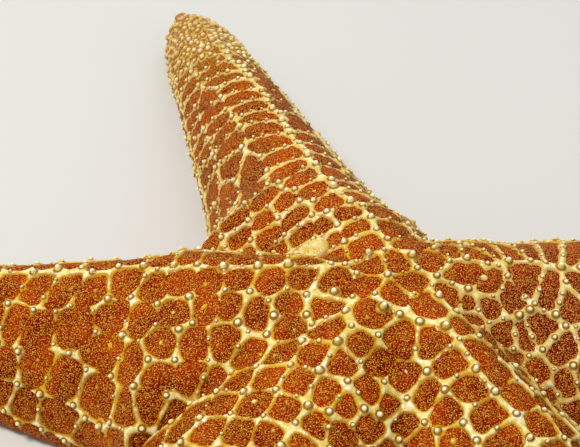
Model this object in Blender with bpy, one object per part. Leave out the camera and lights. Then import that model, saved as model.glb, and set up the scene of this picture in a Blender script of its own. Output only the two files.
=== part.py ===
# A netted cushion sea star, life size: five bent arms round a high domed disc, lying on its flat underside.
# Metres, +Z up. The origin is the middle of the mouth, on the floor. Arms are counted anticlockwise from +X.
import bpy
import bmesh
import numpy as np
from math import atan2, cos, pi, radians, sin, tan
from mathutils import Matrix, Vector

# Sizes of the body.
ARM_LENGTH = 0.154        # middle of the disc to an arm tip
DISC_HEIGHT = 0.050       # height that the ridges of the arms climb to over the disc
DISC_SAG = 0.003          # dip of the middle of the disc below them
TIP_HEIGHT = 0.012
RIDGE_FALL = 1.05         # 1 is a straight slope from disc to tip
ARM_HALF_WIDTH = 0.0235   # at the notches between the arms
TIP_HALF_WIDTH = 0.0107
TIP_LENGTH = 0.024        # length of the rounded end
EDGE_HEIGHT = 0.006       # height of the margin above the floor
NOTCH_HEIGHT = 0.014      # the margin is thicker in the notches
NOTCH_REACH = 0.008
LEAST_FLARE = 0.0015      # an arm widens at least this much into a notch
EDGE_INSET = 0.0006       # the margin bulges this far beyond the upper skin's and the underside's edges
GROOVE_DEPTH = 0.0045     # groove of the tube feet under each arm
GROOVE_HALF_WIDTH = 0.004
MOUTH_DEPTH = 0.0055

# Pose: the direction of each arm is turned a little from a regular star, and each arm bends along its length.
FIRST_ARM = 25.0          # direction of the first arm, degrees from +X
SECTOR = 72.0
HALF_SECTOR = radians(SECTOR / 2)
ARMS = (("right", -14, -19), ("back", 11, 3), ("left", -2, 1), ("front_left", 2, 3), ("front_right", -8, -4))
# The notch after each arm: its distance, the turn of its direction, and how late its furrow falls.
NOTCHES = ((0.035, 5.5, 2.8), (0.056, 9, 1.6), (0.060, -1, 1.6), (0.058, -3, 1.6), (0.056, -19, 1.6))
# How full the flanks of each arm are, right and left of its ridge: higher stays level further out.
FLANKS = ((1.8, 4.0), (1.8, 1.8), (1.8, 1.8), (1.8, 1.8), (1.8, 1.8))
DISC_FLANK = 1.8          # fullness on the disc
FLANK_START, FLANK_END = 0.025, 0.055   # where the arm's own fullness takes over
TURN_REACH = 0.045        # the turns fade out towards the middle
BEND_START = 0.36         # share of the arm's length where its bend begins
BEND_POWER = 1.3

# The grid that the surface is worked out on.
HALF_COLUMNS = 6
ROWS = 11
KNEE = 0.055              # where the rows of an arm begin on its ridge

# Parting of the body, spines and small pieces.
GAP = 0.0003
CUTS = (0.061, 0.1035, 0.1445)   # ends of the disc, of the inner and of the outer length of an arm
CUT_HALF_WIDTH = 0.036
CUT_REACH = 0.2
SPINE_BASE, SPINE_TIP, SPINE_RISE, SPINE_SINK = 0.0014, 0.0005, 0.0019, 0.0012
SPINE_SIDES = 5
RIDGE_PITCH = 0.0085
RIDGE_SPINES = 15
FIRST_RIDGE_SPINE = 0.0195
MARGIN_SPINES = 7
PLATE_RADIUS, PLATE_RISE = 0.0042, 0.0016
PLATE_DISTANCE = 0.021
PLATE_NOTCH = 1
MOUTH_RADIUS, MOUTH_HEIGHT = 0.0066, 0.0034
MOUTH_SIDES = 10

COLOURS = {
    "disc": (0.42, 0.10, 0.02),
    "arm": (0.40, 0.11, 0.02),
    "tip": (0.55, 0.36, 0.10),
    "plate": (0.62, 0.46, 0.20),
    "mouth": (0.66, 0.52, 0.28),
}


def smoothstep(t):
    t = np.clip(t, 0, 1)
    return t * t * (3 - 2 * t)


def half_width(x, notch):
    """Half the width of an arm, on the side of a notch at that distance; inside it, half the sector."""
    x0, y0 = notch * cos(HALF_SECTOR), notch * sin(HALF_SECTOR)
    flare = max(y0 - ARM_HALF_WIDTH, LEAST_FLARE)
    shoulder = ARM_LENGTH - TIP_LENGTH
    taper = (y0 - flare - TIP_HALF_WIDTH) / (shoulder - x0)
    reach = flare / (1 / tan(HALF_SECTOR) - taper)
    past = np.clip(x - x0, 0, None)
    width = y0 - flare - taper * past + flare * np.exp(-past / reach)
    end = np.clip((x - shoulder) / TIP_LENGTH, 0, 1)
    return np.where(x < x0, x * tan(HALF_SECTOR), width * np.sqrt(1 - end**2))


def margin(notch, count=400):
    """Plan of one side of an arm, from the notch to where the rounded end begins to turn across."""
    x0 = notch * cos(HALF_SECTOR)
    corner = ARM_LENGTH - TIP_LENGTH * (1 - cos(pi / 4))
    x = x0 + (corner - x0) * np.sin(np.linspace(0, pi / 2, count))
    y = half_width(x, notch)
    y[0] = notch * sin(HALF_SECTOR)
    run = np.r_[0, np.cumsum(np.hypot(np.diff(x), np.diff(y)))]
    return x, y, run / run[-1]


def ridge_height(x):
    rise = (DISC_HEIGHT - TIP_HEIGHT) * (1 - np.clip(x / ARM_LENGTH, 0, 1) ** RIDGE_FALL)
    return TIP_HEIGHT + rise - DISC_SAG * np.exp(-((x / 0.014) ** 2))


def edge_height(x, notch):
    """Height of the flank's lower end: the furrow between two arms, then the margin."""
    x0 = notch[0] * cos(HALF_SECTOR)
    edge = EDGE_HEIGHT * (1 - 0.4 * np.clip(x / ARM_LENGTH, 0, 1))
    fall = 1 - np.clip(x / x0, 0, 1) ** notch[2]
    furrow = NOTCH_HEIGHT + (DISC_HEIGHT - DISC_SAG - NOTCH_HEIGHT) * fall
    outside = edge + (NOTCH_HEIGHT - EDGE_HEIGHT) * np.exp(-np.clip(x - x0, 0, None) / NOTCH_REACH)
    return np.minimum(np.where(x < x0, furrow, outside), ridge_height(x))


def fullness(x, flank):
    return DISC_FLANK + (flank - DISC_FLANK) * smoothstep((x - FLANK_START) / (FLANK_END - FLANK_START))


def top_height(arm, x, y):
    """Height of the upper skin over a point of an arm's sector."""
    left = y >= 0
    notch = NOTCHES[arm if left else arm - 1]
    across = np.clip(np.abs(y) / np.maximum(half_width(x, notch[0]), 1e-6), 0, 1)
    on_arm = (1 - across ** fullness(x, FLANKS[arm][int(left)])) ** 0.65
    on_disc = np.cos(pi * across / 2) ** 1.3
    share = smoothstep(x / (notch[0] * cos(HALF_SECTOR))) ** 1.5
    low = edge_height(x, notch)
    end = np.clip((x - ARM_LENGTH + TIP_LENGTH) / TIP_LENGTH, 0, 1)
    dome = np.sqrt(1 - end**2)
    return low + (ridge_height(x) - low) * (on_disc + (on_arm - on_disc) * share) * dome


def under_height(x, y):
    """Height of the underside: flat on the floor, with the arm's groove and the mouth sunk into it."""
    groove = GROOVE_DEPTH * np.exp(-((y / GROOVE_HALF_WIDTH) ** 2)) * smoothstep((ARM_LENGTH - x) / 0.02)
    mouth = MOUTH_DEPTH * np.exp(-((np.hypot(x, y) / 0.009) ** 4))
    height = np.maximum(groove, mouth)
    return np.where(height < 0.0004, 0, height)


def posed(arm, x, y):
    """Plan of the straight arm's point (x, y) in the star's pose."""
    x, y = np.asarray(x, float), np.asarray(y, float)
    start = BEND_START * ARM_LENGTH
    along = np.linspace(0, ARM_LENGTH, 601)
    share = np.clip((along - start) / (ARM_LENGTH - start), 0, 1)
    angle = radians(ARMS[arm][2]) * share**BEND_POWER
    step = along[1]
    line_x = np.r_[0, np.cumsum((np.cos(angle)[1:] + np.cos(angle)[:-1]) / 2 * step)]
    line_y = np.r_[0, np.cumsum((np.sin(angle)[1:] + np.sin(angle)[:-1]) / 2 * step)]
    lean = np.interp(x, along, angle)
    bent_x = np.interp(x, along, line_x) - y * np.sin(lean)
    bent_y = np.interp(x, along, line_y) + y * np.cos(lean)
    off = np.clip(np.arctan2(y, x + 1e-9) / (2 * HALF_SECTOR), -0.5, 0.5)
    weight = np.cos(pi * off) ** 2
    beside = np.where(off > 0, NOTCHES[arm][1], NOTCHES[arm - 1][1])
    turn = (ARMS[arm][1] * weight + beside * (1 - weight)) * smoothstep(np.hypot(x, y) / TURN_REACH)
    total = np.radians(FIRST_ARM + SECTOR * arm + turn)
    return bent_x * np.cos(total) - bent_y * np.sin(total), bent_x * np.sin(total) + bent_y * np.cos(total)


def top_point(arm, x, across):
    """Point of the posed upper skin, by the distance along the arm and the share of its half width."""
    notch = NOTCHES[arm if across >= 0 else arm - 1]
    y = across * float(half_width(np.float64(x), notch[0]))
    px, py = posed(arm, x, y)
    return Vector((float(px), float(py), float(top_height(arm, np.float64(x), np.float64(y)))))


def top_normal(arm, x, across):
    step = 0.0005
    along = top_point(arm, x + step, across) - top_point(arm, x - step, across)
    aside = top_point(arm, x, across + 0.02) - top_point(arm, x, across - 0.02)
    return along.cross(aside).normalized()


def grid_plan(arm):
    """The grid in plan, as three point lists: the kite of the disc, the rows of the arm, their edge."""
    left, right = NOTCHES[arm][0], NOTCHES[arm - 1][0]
    corner_left = np.array([left * cos(HALF_SECTOR), left * sin(HALF_SECTOR)])
    corner_right = np.array([right * cos(HALF_SECTOR), -right * sin(HALF_SECTOR)])
    knee = np.array([KNEE, 0.0])
    steps = np.linspace(0, 1, HALF_COLUMNS + 1)
    kite = {}
    for i, s in enumerate(steps):
        for j, t in enumerate(steps):
            kite[i, j] = s * (1 - t) * corner_right + (1 - s) * t * corner_left + s * t * knee
    rows = {}
    sides = {1: margin(left), -1: margin(right)}
    for row in range(1, ROWS + 1):
        share = row / ROWS
        middle = KNEE + (ARM_LENGTH - KNEE) * share
        for column in range(-HALF_COLUMNS, HALF_COLUMNS + 1):
            across = abs(column) / HALF_COLUMNS
            mx, my, run = sides[1 if column >= 0 else -1]
            edge_x, edge_y = np.interp(share, run, mx), np.interp(share, run, my)
            x = middle + (edge_x - middle) * across ** (1 + share)
            rows[row, column] = np.array([x, np.sign(column) * edge_y * across])
    return kite, rows


def margin_ring(arm, rows):
    """The outline in plan, from the right notch round the tip to the left notch, with outward normals."""
    n = HALF_COLUMNS
    left, right = NOTCHES[arm][0], NOTCHES[arm - 1][0]
    start = np.array([right * cos(HALF_SECTOR), -right * sin(HALF_SECTOR)])
    stop = np.array([left * cos(HALF_SECTOR), left * sin(HALF_SECTOR)])
    keys = [(row, -n) for row in range(1, ROWS + 1)] + [(ROWS, c) for c in range(1 - n, n + 1)]
    keys += [(row, n) for row in range(ROWS - 1, 0, -1)]
    points = np.array([start] + [rows[key] for key in keys] + [stop])
    lean = np.gradient(points, axis=0)
    normals = np.stack([lean[:, 1], -lean[:, 0]], 1)
    normals[0], normals[-1] = start, stop
    return keys, points, normals / np.linalg.norm(normals, axis=1)[:, None]


def body_mesh():
    """The whole star as one closed mesh of quads: upper skin, margin and underside."""
    bm = bmesh.new()
    shared = {}

    def vertex(arm, x, y, z, key=None):
        if key in shared:
            return shared[key]
        px, py = posed(arm, x, y)
        made = bm.verts.new((float(px), float(py), float(z)))
        if key is not None:
            shared[key] = made
        return made

    def quad(corners, flip):
        corners = [v for i, v in enumerate(corners) if v not in corners[:i]]
        bm.faces.new(corners[::-1] if flip else corners)

    n = HALF_COLUMNS
    for arm in range(len(ARMS)):
        kite_plan, row_plan = grid_plan(arm)
        keys, ring, normals = margin_ring(arm, row_plan)
        for flip, side in ((False, "top"), (True, "under")):
            def height(x, y):
                if side == "under":
                    return under_height(x, y)
                return top_height(arm, np.float64(x), np.float64(y))

            def border(index):
                x, y = ring[index] - normals[index] * EDGE_INSET
                notch = NOTCHES[arm if ring[index][1] >= 0 else arm - 1]
                z = 0.0 if side == "under" else edge_height(np.float64(ring[index][0]), notch)
                key = None
                if index in (0, len(ring) - 1):
                    key = (side, "notch", arm if index else (arm - 1) % len(ARMS))
                return vertex(arm, x, y, z, key)

            on_ring = {key: border(i + 1) for i, key in enumerate(keys)}
            kite = {}
            for (i, j), (x, y) in kite_plan.items():
                key = None
                if i == 0 and j == 0:
                    key = (side, "centre")
                elif i == 0:
                    key = (side, "seam", arm, j)
                elif j == 0:
                    key = (side, "seam", (arm - 1) % len(ARMS), i)
                if (i, j) == (0, n):
                    kite[i, j] = border(len(ring) - 1)
                elif (i, j) == (n, 0):
                    kite[i, j] = border(0)
                else:
                    kite[i, j] = vertex(arm, x, y, height(x, y), key)
            for i in range(n):
                for j in range(n):
                    quad([kite[i, j], kite[i + 1, j], kite[i + 1, j + 1], kite[i, j + 1]], flip)
            grid = {(0, c): kite[n - c, n] if c >= 0 else kite[n, n + c] for c in range(-n, n + 1)}
            for key, (x, y) in row_plan.items():
                grid[key] = on_ring[key] if key in on_ring else vertex(arm, x, y, height(x, y))
            for row in range(ROWS):
                for c in range(-n, n):
                    quad([grid[row, c], grid[row + 1, c], grid[row + 1, c + 1], grid[row, c + 1]], flip)
            loop = [kite[n, 0]] + [on_ring[key] for key in keys] + [kite[0, n]]
            if side == "top":
                upper = loop
        middle = []
        for i, (x, y) in enumerate(ring):
            notch = NOTCHES[arm if y >= 0 else arm - 1]
            z = 0.45 * edge_height(np.float64(x), notch)
            key = ("middle", arm if i else (arm - 1) % len(ARMS)) if i in (0, len(ring) - 1) else None
            middle.append(vertex(arm, x, y, z, key))
        for high, low in ((upper, middle), (middle, loop)):
            for i in range(len(ring) - 1):
                quad([high[i], low[i], low[i + 1], high[i + 1]], False)
    bmesh.ops.recalc_face_normals(bm, faces=bm.faces)
    return finished(bm, "body")


def finished(bm, name):
    bmesh.ops.triangulate(bm, faces=[f for f in bm.faces if len(f.verts) > 4])
    mesh = bpy.data.meshes.new(name)
    bm.to_mesh(mesh)
    bm.free()
    return mesh


def spine_mesh():
    """The main spines: along the ridge of each arm, along its margins, round the middle of the disc."""
    bm = bmesh.new()
    places = []
    for arm in range(len(ARMS)):
        for i in range(RIDGE_SPINES):
            places.append((arm, FIRST_RIDGE_SPINE + RIDGE_PITCH * i, 0.0))
        for side in (-1, 1):
            notch = NOTCHES[arm if side > 0 else arm - 1][0]
            first = notch * cos(HALF_SECTOR) + 0.007
            step = (ARM_LENGTH - 0.009 - first) / (MARGIN_SPINES - 1)
            for i in range(MARGIN_SPINES):
                x = first + step * i
                if min(abs(x - cut) for cut in CUTS) > 0.0022:
                    places.append((arm, x, side * 0.9))
        places.append((arm, 0.0095, 0.5))
    for arm, x, across in places:
        foot, up = top_point(arm, x, across), top_normal(arm, x, across)
        if up.z < 0:
            up.negate()
        length = SPINE_RISE + SPINE_SINK
        turn = Vector((0, 0, 1)).rotation_difference(up).to_matrix().to_4x4()
        centre = foot + up * (SPINE_RISE - length / 2)
        bmesh.ops.create_cone(bm, cap_ends=True, segments=SPINE_SIDES, radius1=SPINE_BASE, radius2=SPINE_TIP,
                              depth=length, matrix=Matrix.Translation(centre) @ turn)
    return finished(bm, "spines")


def cut_box(arm, cut, shift):
    """Everything of one arm past a cut across it."""
    near, far = posed(arm, cut - 0.001, 0.0), posed(arm, cut + 0.001, 0.0)
    direction = Vector((float(far[0] - near[0]), float(far[1] - near[1]), 0)).normalized()
    start = Vector((float(posed(arm, cut, 0.0)[0]), float(posed(arm, cut, 0.0)[1]), 0)) + direction * shift
    bm = bmesh.new()
    bmesh.ops.create_cube(bm, size=1.0)
    bmesh.ops.scale(bm, verts=bm.verts, vec=(CUT_REACH, 2 * CUT_HALF_WIDTH, 0.2))
    bmesh.ops.translate(bm, verts=bm.verts, vec=(CUT_REACH / 2, 0, 0))
    angle = atan2(direction.y, direction.x)
    bmesh.ops.transform(bm, verts=bm.verts, matrix=Matrix.Translation(start) @ Matrix.Rotation(angle, 4, "Z"))
    return finished(bm, f"past_{arm}_{cut}")


def dome_mesh(extra):
    """The sieve plate: a low round dome that leans with the skin."""
    foot = top_point(PLATE_NOTCH, PLATE_DISTANCE * cos(HALF_SECTOR), 1.0)
    outward = Vector((foot.x, foot.y, 0)).normalized()
    inner = top_point(PLATE_NOTCH, (PLATE_DISTANCE - 0.004) * cos(HALF_SECTOR), 1.0)
    up = (Vector((0, 0, 1)) + outward * (inner.z - foot.z) / 0.004).normalized()
    bm = bmesh.new()
    bmesh.ops.create_uvsphere(bm, u_segments=14, v_segments=8, radius=1.0)
    wide, tall = PLATE_RADIUS + extra, 2 * PLATE_RISE + extra
    turn = Vector((0, 0, 1)).rotation_difference(up).to_matrix().to_4x4()
    size = Matrix.Diagonal((wide, wide, tall, 1))
    centre = foot + up * (-PLATE_RISE * 0.4)
    bmesh.ops.transform(bm, verts=bm.verts, matrix=Matrix.Translation(centre) @ turn @ size)
    return finished(bm, "dome")


def mouth_mesh(extra):
    """The closed ring of jaws, flush with the underside."""
    bm = bmesh.new()
    height = MOUTH_HEIGHT + extra
    bmesh.ops.create_cone(bm, cap_ends=True, segments=MOUTH_SIDES, radius1=MOUTH_RADIUS + extra,
                          radius2=(MOUTH_RADIUS + extra) * 0.8, depth=height)
    drop = 0.002 if extra else 0.0
    for v in bm.verts:
        v.co.z += height / 2
        if v.co.z < 1e-6:
            v.co.z -= drop
    return finished(bm, "mouth")


def material(name, colour):
    made = bpy.data.materials.new(name)
    made.use_nodes = True
    shader = made.node_tree.nodes["Principled BSDF"]
    shader.inputs["Base Color"].default_value = (*colour, 1)
    shader.inputs["Roughness"].default_value = 0.5
    made.diffuse_color = (*colour, 1)
    return made


def clear_scene():
    for obj in list(bpy.data.objects):
        bpy.data.objects.remove(obj, do_unlink=True)


def add_object(name, mesh, collection, hidden=False):
    obj = bpy.data.objects.new(name, mesh)
    collection.objects.link(obj)
    if hidden:
        obj.hide_render = True
        obj.display_type = "WIRE"
    return obj


def combine(obj, other, operation):
    modifier = obj.modifiers.new(f"{operation.lower()}_{other.name}", "BOOLEAN")
    modifier.operation = operation
    modifier.solver = "EXACT"
    modifier.object = other


def evaluated_mesh(obj):
    graph = bpy.context.evaluated_depsgraph_get()
    return bpy.data.meshes.new_from_object(obj.evaluated_get(graph))


def build():
    clear_scene()
    scene = bpy.context.scene
    star = bpy.data.collections.new("sea_star")
    cutters = bpy.data.collections.new("cutters")
    cutters.hide_render = True
    for collection in (star, cutters):
        scene.collection.children.link(collection)
    colours = {name: material(name, value) for name, value in COLOURS.items()}

    rough = add_object("body_rough", body_mesh(), cutters, hidden=True)
    combine(rough, add_object("spines", spine_mesh(), cutters, hidden=True), "UNION")
    whole = evaluated_mesh(rough)

    past = {}
    for arm in range(len(ARMS)):
        for cut in CUTS:
            for side in (-1, 1):
                box = cut_box(arm, cut, side * GAP / 2)
                past[arm, cut, side] = add_object(f"past_{arm}_{cut}_{side}", box, cutters, hidden=True)

    disc = add_object("disc", whole.copy(), star)
    disc.data.materials.append(colours["disc"])
    for arm in range(len(ARMS)):
        combine(disc, past[arm, CUTS[0], -1], "DIFFERENCE")
    combine(disc, add_object("plate_seat", dome_mesh(GAP), cutters, hidden=True), "DIFFERENCE")
    combine(disc, add_object("mouth_seat", mouth_mesh(GAP), cutters, hidden=True), "DIFFERENCE")

    plate = add_object("sieve_plate", dome_mesh(0.0), star)
    plate.data.materials.append(colours["plate"])
    mouth = add_object("mouth", mouth_mesh(0.0), star)
    mouth.data.materials.append(colours["mouth"])

    for arm, (name, _, _) in enumerate(ARMS):
        lengths = ("inner", "outer", "tip")
        for i, length in enumerate(lengths):
            piece = add_object(f"arm_{name}_{length}", whole.copy(), star)
            piece.data.materials.append(colours["tip" if length == "tip" else "arm"])
            combine(piece, past[arm, CUTS[i], 1], "INTERSECT")
            if i + 1 < len(lengths):
                combine(piece, past[arm, CUTS[i + 1], -1], "DIFFERENCE")


build()
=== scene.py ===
from math import cos, pi, radians, sin, tan

import bpy
import numpy as np
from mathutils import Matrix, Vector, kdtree


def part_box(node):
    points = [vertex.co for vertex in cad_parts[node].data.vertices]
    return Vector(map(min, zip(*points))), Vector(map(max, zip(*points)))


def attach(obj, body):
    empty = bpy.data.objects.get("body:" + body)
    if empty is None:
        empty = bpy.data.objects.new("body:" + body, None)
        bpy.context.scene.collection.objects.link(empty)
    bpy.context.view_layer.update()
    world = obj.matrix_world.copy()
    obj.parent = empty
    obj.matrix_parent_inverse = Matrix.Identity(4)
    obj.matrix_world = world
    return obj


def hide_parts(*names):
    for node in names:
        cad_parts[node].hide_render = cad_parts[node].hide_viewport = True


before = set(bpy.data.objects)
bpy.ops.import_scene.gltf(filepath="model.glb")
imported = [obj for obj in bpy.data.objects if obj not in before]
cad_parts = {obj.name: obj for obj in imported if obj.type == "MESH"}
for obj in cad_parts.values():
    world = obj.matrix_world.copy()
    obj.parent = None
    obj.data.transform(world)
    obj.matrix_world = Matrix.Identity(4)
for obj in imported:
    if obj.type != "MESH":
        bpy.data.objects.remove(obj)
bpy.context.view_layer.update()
scene = bpy.context.scene
mm = 0.001

# the body: the same sizes and pose as the solids

body = {
    "armLength": 0.154,
    "discHeight": 0.050,
    "discSag": 0.003,
    "sagReach": 0.014,
    "tipHeight": 0.012,
    "ridgeFall": 1.05,
    "armHalfWidth": 0.0235,
    "tipHalfWidth": 0.0107,
    "tipLength": 0.024,
    "edgeHeight": 0.006,
    "edgeFall": 0.4,                    # share of it lost at the tip
    "notchHeight": 0.014,
    "notchReach": 0.008,
    "leastFlare": 0.0015,
    "grooveDepth": 0.0045,
    "grooveHalfWidth": 0.004,
    "grooveEnd": 0.02,
    "mouthDepth": 0.0055,
    "mouthRadius": 0.009,
    "firstArm": 25.0,
    "turnReach": 0.045,
    "bendStart": 0.36,
    "bendPower": 1.3,
    "bendSteps": 601,
    "knee": 0.055,
    "discFlank": 1.8,
    "flankStart": 0.025,
    "flankEnd": 0.055,
    "armRound": 0.65,
    "discRound": 1.3,
    "discToArm": 1.5,
}
# how full the flanks of each arm are, right and left of its ridge
flanks = ((1.8, 4.0), (1.8, 1.8), (1.8, 1.8), (1.8, 1.8), (1.8, 1.8))
halfSector = radians(36)
# name, turn and bend of each arm, anticlockwise from the right
arms = (("right", -14, -19), ("back", 11, 3), ("left", -2, 1), ("front_left", 2, 3),
        ("front_right", -8, -4))
# distance, turn and furrow of the notch after each arm
notches = ((0.035, 5.5, 2.8), (0.056, 9, 1.6), (0.060, -1, 1.6), (0.058, -3, 1.6),
           (0.056, -19, 1.6))


def smoothstep(t):
    t = np.clip(t, 0, 1)
    return t * t * (3 - 2 * t)


def halfWidth(x, distance):
    x0, y0 = distance * cos(halfSector), distance * sin(halfSector)
    flare = max(y0 - body["armHalfWidth"], body["leastFlare"])
    shoulder = body["armLength"] - body["tipLength"]
    taper = (y0 - flare - body["tipHalfWidth"]) / (shoulder - x0)
    reach = flare / (1 / tan(halfSector) - taper)
    past = np.clip(x - x0, 0, None)
    width = y0 - flare - taper * past + flare * np.exp(-past / reach)
    end = np.clip((x - shoulder) / body["tipLength"], 0, 1)
    return np.where(x < x0, x * tan(halfSector), width * np.sqrt(1 - end**2))


def crestHeight(x):
    fall = np.clip(x / body["armLength"], 0, 1) ** body["ridgeFall"]
    rise = (body["discHeight"] - body["tipHeight"]) * (1 - fall)
    return body["tipHeight"] + rise - body["discSag"] * np.exp(-((x / body["sagReach"]) ** 2))


def edgeHeight(x, notch):
    x0 = notch[0] * cos(halfSector)
    edge = body["edgeHeight"] * (1 - body["edgeFall"] * np.clip(x / body["armLength"], 0, 1))
    fall = 1 - np.clip(x / x0, 0, 1) ** notch[2]
    furrow = body["notchHeight"] + (body["discHeight"] - body["discSag"] - body["notchHeight"]) * fall
    swell = body["notchHeight"] - body["edgeHeight"]
    swell = swell * np.exp(-np.clip(x - x0, 0, None) / body["notchReach"])
    return np.minimum(np.where(x < x0, furrow, edge + swell), crestHeight(x))


def sideHeight(x, y, notch, flank):
    across = np.clip(np.abs(y) / np.maximum(halfWidth(x, notch[0]), 1e-6), 0, 1)
    taken = smoothstep((x - body["flankStart"]) / (body["flankEnd"] - body["flankStart"]))
    fullness = body["discFlank"] + (flank - body["discFlank"]) * taken
    onArm = (1 - across**fullness) ** body["armRound"]
    onDisc = np.cos(pi * across / 2) ** body["discRound"]
    share = smoothstep(x / (notch[0] * cos(halfSector))) ** body["discToArm"]
    low = edgeHeight(x, notch)
    end = np.clip((x - body["armLength"] + body["tipLength"]) / body["tipLength"], 0, 1)
    dome = np.sqrt(1 - end**2)
    return low + (crestHeight(x) - low) * (onDisc + (onArm - onDisc) * share) * dome


def topHeight(arm, x, y):
    right, left = flanks[arm]
    onLeft, onRight = sideHeight(x, y, notches[arm], left), sideHeight(x, y, notches[arm - 1], right)
    return np.where(y >= 0, onLeft, onRight)


def lowHeight(arm, x, y):
    return np.where(y >= 0, edgeHeight(x, notches[arm]), edgeHeight(x, notches[arm - 1]))


def underHeight(x, y):
    groove = body["grooveDepth"] * np.exp(-((y / body["grooveHalfWidth"]) ** 2))
    groove = groove * smoothstep((body["armLength"] - x) / body["grooveEnd"])
    mouth = body["mouthDepth"] * np.exp(-((np.hypot(x, y) / body["mouthRadius"]) ** 4))
    return np.maximum(groove, mouth)


# a place in the straight arm, bent and turned into the pose
def posed(arm, x, y, z):
    length = body["armLength"]
    start = body["bendStart"] * length
    along = np.linspace(0, length, body["bendSteps"])
    share = np.clip((along - start) / (length - start), 0, 1)
    angle = radians(arms[arm][2]) * share ** body["bendPower"]
    lineX = np.r_[0, np.cumsum((np.cos(angle)[1:] + np.cos(angle)[:-1]) / 2 * along[1])]
    lineY = np.r_[0, np.cumsum((np.sin(angle)[1:] + np.sin(angle)[:-1]) / 2 * along[1])]
    lean = np.interp(x, along, angle)
    bentX = np.interp(x, along, lineX) - y * np.sin(lean)
    bentY = np.interp(x, along, lineY) + y * np.cos(lean)
    off = np.clip(np.arctan2(y, x + 1e-9) / (2 * halfSector), -0.5, 0.5)
    weight = np.cos(pi * off) ** 2
    beside = np.where(off > 0, notches[arm][1], notches[arm - 1][1])
    turn = (arms[arm][1] * weight + beside * (1 - weight)) * smoothstep(np.hypot(x, y) / body["turnReach"])
    total = np.radians(body["firstArm"] + 72 * arm + turn)
    turnedX = bentX * np.cos(total) - bentY * np.sin(total)
    turnedY = bentX * np.sin(total) + bentY * np.cos(total)
    return np.stack([turnedX, turnedY, z + 0 * x], -1)


# the grid of the skin

grid = {
    "columns": 100,    # on each side of an arm's crest
    "rows": 190,      # from knee to tip
    "wallLevels": 11,
    "wallInset": 0.0022,
    "columnPower": 1.5,
    "columnFrom": 0.25,
    "outlineSteps": 800,
    "radialReach": 0.003,               # the outline leaves a notch straight outwards
    "sunk": 0.0006,                     # the smooth skin lies this far inside the solids
    "weldStep": 2e-6,
}
# where each part of an arm lies across the bake map
charts = {"discTop": (0.002, 0.198), "armTop": (0.202, 0.778), "wall": (0.782, 0.862),
          "discUnder": (0.866, 0.918), "armUnder": (0.922, 0.998)}
band, bandGap = 0.2, 0.004              # each arm has a band of the map
strip, stripWidth = 0.016, 0.014        # and a strip of the wall's part


def margin(distance, inset):
    x0 = distance * cos(halfSector)
    corner = body["armLength"] - body["tipLength"] * (1 - cos(pi / 4))
    x = x0 + (corner - x0) * np.sin(np.linspace(0, pi / 2, grid["outlineSteps"]))
    y = halfWidth(x, distance)
    y[0] = distance * sin(halfSector)
    run = np.r_[0, np.cumsum(np.hypot(np.diff(x), np.diff(y)))]
    outX, outY = -np.gradient(y), np.gradient(x)
    size = np.hypot(outX, outY)
    radial = np.exp(-run / grid["radialReach"])
    outX = outX / size * (1 - radial) + cos(halfSector) * radial
    outY = outY / size * (1 - radial) + sin(halfSector) * radial
    size = np.hypot(outX, outY)
    return x - outX / size * inset, y - outY / size * inset, run / run[-1]


def gridPlan(arm, n, rowCount, inset):
    left, right = notches[arm][0] - inset, notches[arm - 1][0] - inset
    cornerLeft = np.array([left * cos(halfSector), left * sin(halfSector)])
    cornerRight = np.array([right * cos(halfSector), -right * sin(halfSector)])
    knee = np.array([body["knee"], 0.0])
    s, t = np.meshgrid(np.linspace(0, 1, n + 1), np.linspace(0, 1, n + 1), indexing="ij")
    s, t = s[..., None], t[..., None]
    kite = s * (1 - t) * cornerRight + (1 - s) * t * cornerLeft + s * t * knee
    c = np.arange(-n, n + 1)
    chevron = np.where((c >= 0)[:, None], kite[np.clip(n - c, 0, n), n], kite[n, np.clip(n + c, 0, n)])
    share = (np.arange(1, rowCount + 1) / rowCount)[:, None]
    power = 1 + (grid["columnPower"] - 1) * smoothstep(share / grid["columnFrom"])
    across = 1 - (1 - np.abs(c)[None] / n) ** power
    middle = body["knee"] + (body["armLength"] - inset - body["knee"]) * share
    leftX, leftY, run = margin(notches[arm][0], inset)
    rightX, rightY, runRight = margin(notches[arm - 1][0], inset)
    isLeft = (c >= 0)[None]
    edgeX = np.where(isLeft, np.interp(share, run, leftX), np.interp(share, runRight, rightX))
    edgeY = np.where(isLeft, np.interp(share, run, leftY), np.interp(share, runRight, rightY))
    x = middle + (edgeX - middle) * across ** (1 + share)
    y = edgeY * across * np.sign(c)[None]
    rows = np.concatenate([chevron[None], np.stack([x, y], -1)])
    ring = np.concatenate([rows[:, 0], rows[-1, 1:-1], rows[::-1, -1]])
    return kite, rows, ring


class Patches:
    def __init__(self):
        self.points, self.local, self.uv, self.faces, self.count = [], [], [], [], 0

    # x and y are the place in the straight arm; under runs from 0 on top to 1 below
    def add(self, points, arm, x, y, under, uv, faces=None, flip=False):
        a, b = points.shape[:2]
        if faces is None:
            index = np.arange(a * b).reshape(a, b)
            corners = (index[:-1, :-1], index[1:, :-1], index[1:, 1:], index[:-1, 1:])
            faces = np.stack(corners, -1).reshape(-1, 4)
        self.faces.append(faces[:, ::-1] + self.count if flip else faces + self.count)
        self.points.append(points.reshape(-1, 3))
        self.local.append(np.stack([np.full(x.shape, float(arm)), x, y, under + 0 * x], -1).reshape(-1, 4))
        self.uv.append(uv.reshape(-1, 2))
        self.count += a * b

    def joined(self):
        points, local, uv, faces = map(np.concatenate, (self.points, self.local, self.uv, self.faces))
        places = np.round(points / grid["weldStep"]).astype(np.int64)
        _, first, index = np.unique(places, axis=0, return_index=True, return_inverse=True)
        return points[first], local[first], index.reshape(-1)[faces], uv[faces]


def spread(shape, low, high):
    u, v = (np.linspace(low[k], high[k], shape[k]) for k in (0, 1))
    return np.stack(np.meshgrid(u, v, indexing="ij"), -1)


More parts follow.
